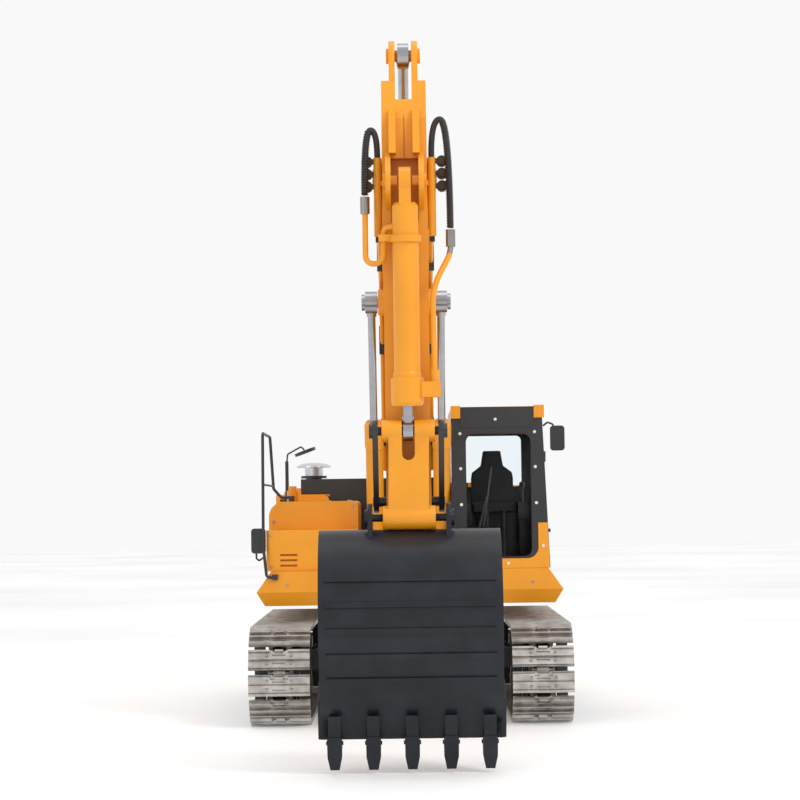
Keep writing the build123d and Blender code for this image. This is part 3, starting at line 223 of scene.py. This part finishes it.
def upright_to(axis):
    """The turn that takes +Z to an axis."""
    return Vector((0, 0, 1)).rotation_difference(Vector(axis).normalized()).to_matrix().to_4x4()


def bolt_head(work, centre, axis, radius, height):
    """A hex head with a chamfered crown, standing on centre along axis."""
    turn = upright_to(axis)
    rings = []
    for along, r in ((-0.3 * height, radius), (height * 0.7, radius), (height, radius * 0.8)):
        ring = []
        for i in range(6):
            a = i * pi / 3
            ring.append(work.verts.new(centre + turn @ Vector((r * cos(a), r * sin(a), along))))
        rings.append(ring)
    for low, high in zip(rings, rings[1:]):
        for i in range(6):
            work.faces.new((low[i], low[(i + 1) % 6], high[(i + 1) % 6], high[i]))
    work.faces.new(rings[-1])
    work.faces.new(list(reversed(rings[0])))


def dome_head(work, centre, axis, radius):
    """A round-headed cap screw with a round socket recess."""
    turn = upright_to(axis)
    count = 24
    profile = ((1.0, -0.2), (1.0, 0.25), (0.86, 0.5), (0.5, 0.62), (0.5, 0.3))
    rings = []
    for r, along in profile:
        ring = []
        for i in range(count):
            a = 2 * pi * i / count
            spot = Vector((radius * r * cos(a), radius * r * sin(a), radius * along))
            ring.append(work.verts.new(centre + turn @ spot))
        rings.append(ring)
    for low, high in zip(rings, rings[1:]):
        for i in range(count):
            j = (i + 1) % count
            work.faces.new((low[i], low[j], high[j], high[i]))
    work.faces.new(rings[-1])
    work.faces.new(list(reversed(rings[0])))


TRACK_X, WHEEL_F, WHEEL_Z, PITCH_R, SHOES = 92.5, 144.0, 35.0, 27.5, 48     # millimetres, and a count
SHOE_PLATE = 0.0324      # from the chain's pitch line's centre to the plate, in metres
SCREW_R = 0.0011


def shoe_bolts(side):
    """Four bolts on each shoe, on the plate between the ribs."""
    def build(work):
        straight, arc = 2 * WHEEL_F, pi * PITCH_R
        pitch = 2 * (straight + arc) / SHOES
        for i in range(SHOES):
            s = (i + 0.5) * pitch
            if s < straight:
                f, turn = -WHEEL_F + s, 0.0
            elif s < straight + arc:
                f, turn = WHEEL_F, (s - straight) / PITCH_R
            elif s < 2 * straight + arc:
                f, turn = WHEEL_F - (s - straight - arc), pi
            else:
                f, turn = -WHEEL_F, pi + (s - 2 * straight - arc) / PITCH_R
            out = Vector((0, -sin(turn), cos(turn)))
            along = Vector((0, -cos(turn), -sin(turn)))
            for x in (-8.6, 8.6):
                for step in (-3.0, 3.0):
                    spot = at(side * TRACK_X + x, f, WHEEL_Z) + out * SHOE_PLATE + along * (step / 1000)
                    bolt_head(work, spot, out, 0.0012, 0.0009)
    return build


for side, word in ((1, "left"), (-1, "right")):
    piece("shoe_bolts_" + word, shoe_bolts(side), screw_steel, "undercarriage")


def slab(work, low, high, edge):
    """A block between two corners with chamfered edges."""
    made = bmesh.ops.create_cube(work, size=1.0)["verts"]
    for v in made:
        for k in range(3):
            v.co[k] = high[k] if v.co[k] > 0 else low[k]
    edges = {e for v in made for e in v.link_edges}
    bmesh.ops.bevel(work, geom=list(edges), offset=edge, segments=2, affect="EDGES")


def painted_shade_plates(side):
    """Dark plates across the inside of the loop, ahead of and behind the rollers: painted shade inside the
    track loop.
    """
    def build(work):
        for f in (-117.0, 116.0):
            for near, far in ((12.4, 20.6), (-20.6, -12.4)):
                low, high = at(side * TRACK_X + near, f + 1, 8.0), at(side * TRACK_X + far, f - 1, 62.0)
                slab(work, low, high, 0.0004)
    return build


# black slabs inside each track loop stand in for the shade there: painted shade, not real parts
for side, word in ((1, "left"), (-1, "right")):
    piece("painted_shade_plates_" + word, painted_shade_plates(side), black, "undercarriage")


def body_screws(work):
    """Cap screws on the tool box, the fuel tank, the deck's front edge and the machine cover."""
    for x, z in ((-99.5, 112), (-99.5, 134.5), (-40.5, 134.5), (-40.5, 112)):
        dome_head(work, at(x, 131, z), (0, -1, 0), SCREW_R)
    for x, z in ((-98.5, 144), (-41, 154.5)):
        dome_head(work, at(x, 107.7, z), (0, -1, 0), SCREW_R)
    for x in (-88, -60, -8, 8, 60, 88):
        dome_head(work, at(x, 135, 99), (0, -1, 0), SCREW_R)
    for x, f in ((-60, 18), (-44, 18), (-60, 92), (-44, 92)):
        dome_head(work, at(x, f, 158.5), (0, 0, 1), SCREW_R)


piece("body_screws", body_screws, screw_steel, "house")


def frame_strip(work, outline, depth_from, depth_to, width):
    """A strip along a closed outline of (x, z) points, from depth_from to depth_to."""
    count = len(outline)
    centre = (sum(p[0] for p in outline) / count, sum(p[1] for p in outline) / count)
    rows = []
    for x, z in outline:
        dx, dz = centre[0] - x, centre[1] - z
        scale = width / (dx * dx + dz * dz) ** 0.5
        inner = (x + dx * scale, z + dz * scale)
        corners = (at(x, depth_from, z), at(x, depth_to, z),
                   at(inner[0], depth_to, inner[1]), at(inner[0], depth_from, inner[1]))
        rows.append([work.verts.new(corner) for corner in corners])
    for i in range(count):
        a, b = rows[i], rows[(i + 1) % count]
        for k in range(4):
            work.faces.new((a[k], a[(k + 1) % 4], b[(k + 1) % 4], b[k]))


def round_rect(x0, x1, z0, z1, radius, steps=8):
    """Outline points of a rectangle with round corners."""
    points = []
    for cx, cz, start in ((x1 - radius, z1 - radius, 0), (x0 + radius, z1 - radius, 90),
                          (x0 + radius, z0 + radius, 180), (x1 - radius, z0 + radius, 270)):
        for i in range(steps + 1):
            a = radians(start + 90 * i / steps)
            points.append((cx + radius * cos(a), cz + radius * sin(a)))
    return points


def window_seal(work):
    frame_strip(work, round_rect(41.0, 88.5, 116.0, 206.0, 6.0), 131.9, 133.5, 1.1)


def rod(work, start, end, radius, sides=10):
    """A closed round bar between two points."""
    axis = (end - start).normalized()
    turn = Vector((0, 0, 1)).rotation_difference(axis).to_matrix()
    rings = []
    for point in (start, end):
        angles = [2 * pi * i / sides for i in range(sides)]
        rings.append([work.verts.new(point + turn @ Vector((radius * cos(a), radius * sin(a), 0)))
                      for a in angles])
    for i in range(sides):
        j = (i + 1) % sides
        work.faces.new((rings[0][i], rings[0][j], rings[1][j], rings[1][i]))
    work.faces.new(rings[1])
    work.faces.new(list(reversed(rings[0])))


def wiper(work):
    """Wiper motor cap, arm and blade in front of the windscreen."""
    rod(work, at(46, 133.0, 121), at(46, 134.8, 121), 0.0021, 20)
    rod(work, at(46, 134.4, 121), at(56, 134.4, 160), 0.0005)
    rod(work, at(53.4, 133.9, 139), at(59.6, 133.9, 181), 0.0006)


piece("window_seal", window_seal, rubber, "house")
piece("wiper", wiper, cab_black, "house")


# ---- hoses ----------------------------------------------------------------------------------
HOSES = {
    "left": [(16.0, 449.8, 361.0), (16.0, 450.4, 383.0), (26.6, 453, 383.0), (26.6, 456, 318.0)],
    "right": [(-16.0, 449.8, 361.0), (-16.0, 450.4, 377.0), (-23.6, 453, 377.0), (-23.6, 456, 338.0)],
}
HOSE_R = 1.8
GUARD_FROM = 0.55        # share of the hose's line after which the spring guard starts
WIRE_R, GUARD_R, GUARD_PITCH = 0.00034, 0.00195, 0.0016


def nurbs_curve(name, points, radius):
    """A round cord through the same route points as the CAD hose."""
    curve = bpy.data.curves.new(name, "CURVE")
    curve.dimensions = "3D"
    spline = curve.splines.new("NURBS")
    spline.points.add(len(points) - 1)
    for target, point in zip(spline.points, points):
        target.co = (*at(*point), 1)
    spline.order_u = 3
    spline.use_endpoint_u = True
    curve.resolution_u = 16
    curve.bevel_depth = radius / 1000
    curve.bevel_resolution = 5
    return curve


def centreline(curve):
    """Points along a curve's own line, from a copy with no bevel."""
    bare = curve.copy()
    bare.bevel_depth = 0
    holder = bpy.data.objects.new("bare", bare)
    bpy.context.scene.collection.objects.link(holder)
    bpy.context.view_layer.update()
    mesh = bpy.data.meshes.new_from_object(holder.evaluated_get(bpy.context.evaluated_depsgraph_get()))
    points = [v.co.copy() for v in mesh.vertices]
    bpy.data.objects.remove(holder)
    bpy.data.curves.remove(bare)
    bpy.data.meshes.remove(mesh)
    return points


def walk(points, step):
    """The line resampled at even steps."""
    made, left = [points[0]], step
    for a, b in zip(points, points[1:]):
        length, here = (b - a).length, 0.0
        while length - here >= left:
            here += left
            made.append(a.lerp(b, here / length))
            left = step
        left -= length - here
    return made


def spring(points, radius, wire, pitch):
    """A wire helix round a line, as a mesh tube."""
    def build(work):
        turns, sides = 24, 8      # steps in one turn of the helix, and sides of the wire
        path = walk(points, pitch / turns)
        previous = None
        for i, point in enumerate(path[:-1]):
            tangent = (path[i + 1] - point).normalized()
            side_a = tangent.cross(Vector((0, 1, 0.01))).normalized()
            side_b = tangent.cross(side_a)
            a = 2 * pi * i / turns
            out = side_a * cos(a) + side_b * sin(a)
            ring = []
            for k in range(sides):
                b = 2 * pi * k / sides
                spot = point + out * (radius + wire * cos(b)) + tangent * wire * sin(b)
                ring.append(work.verts.new(spot))
            if previous:
                for k in range(sides):
                    j = (k + 1) % sides
                    work.faces.new((previous[k], previous[j], ring[j], ring[k]))
            else:
                work.faces.new(ring)
            previous = ring
        work.faces.new(list(reversed(previous)))
    return build


for side, route in HOSES.items():
    curve = nurbs_curve("hose_line_" + side, route, HOSE_R)
    curve.materials.append(rubber)
    hose = bpy.data.objects.new("rubber_hose_" + side, curve)
    bpy.context.scene.collection.objects.link(hose)
    line = centreline(curve)
    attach(hose, "stick_body")
    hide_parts("hose_" + side)
    falling = [p for i, p in enumerate(line) if i > len(line) * GUARD_FROM]
    coil = spring(falling, GUARD_R, WIRE_R, GUARD_PITCH)
    guard = piece("hose_spring_" + side, coil, black, "stick_body")
    for poly in guard.data.polygons:
        poly.use_smooth = True


# ---- floor, light and camera ------------------------------------------------------------------
bpy.ops.mesh.primitive_plane_add(size=12, location=(0, 1.0, 0))
floor = bpy.context.object
floor.name = "floor"
floor.data.materials.append(floor_white)

world = bpy.data.worlds.new("studio")
bpy.context.scene.world = world
world.use_nodes = True
world.node_tree.nodes["Background"].inputs["Color"].default_value = (1.0, 1.0, 1.0, 1)
world.node_tree.nodes["Background"].inputs["Strength"].default_value = 0.95


def soft_light(name, place, target, size, power):
    """A rectangular lamp that faces a target."""
    lamp = bpy.data.lights.new(name, "AREA")
    lamp.shape = "RECTANGLE"
    lamp.size, lamp.size_y = size
    lamp.energy = power
    holder = bpy.data.objects.new(name, lamp)
    bpy.context.scene.collection.objects.link(holder)
    holder.location = place
    holder.rotation_euler = (Vector(target) - Vector(place)).to_track_quat("-Z", "Y").to_euler()


soft_light("key", (1.2, -1.3, 1.5), (0, -0.1, 0.2), (0.5, 0.5), 13)
soft_light("fill", (-1.3, -1.4, 0.8), (0, -0.1, 0.2), (0.8, 0.8), 2)
soft_light("top", (0.0, -0.2, 1.7), (0, 0, 0.1), (1.0, 0.8), 3)

camera = bpy.data.cameras.new("camera")
camera.lens = 110.25
camera.sensor_width = 36
camera.clip_start = 0.05
camera.clip_end = 50
holder = bpy.data.objects.new("camera", camera)
bpy.context.scene.collection.objects.link(holder)
turn = Matrix.Rotation(radians(0.14), 4, "Z") @ Matrix.Rotation(radians(92.42), 4, "X") @ \
    Matrix.Rotation(radians(-0.8), 4, "Z")
holder.matrix_world = Matrix.Translation((-0.001, SHIFT - 1.894, 0.156)) @ turn
bpy.context.scene.camera = holder
bpy.context.scene.view_settings.view_transform = "Standard"
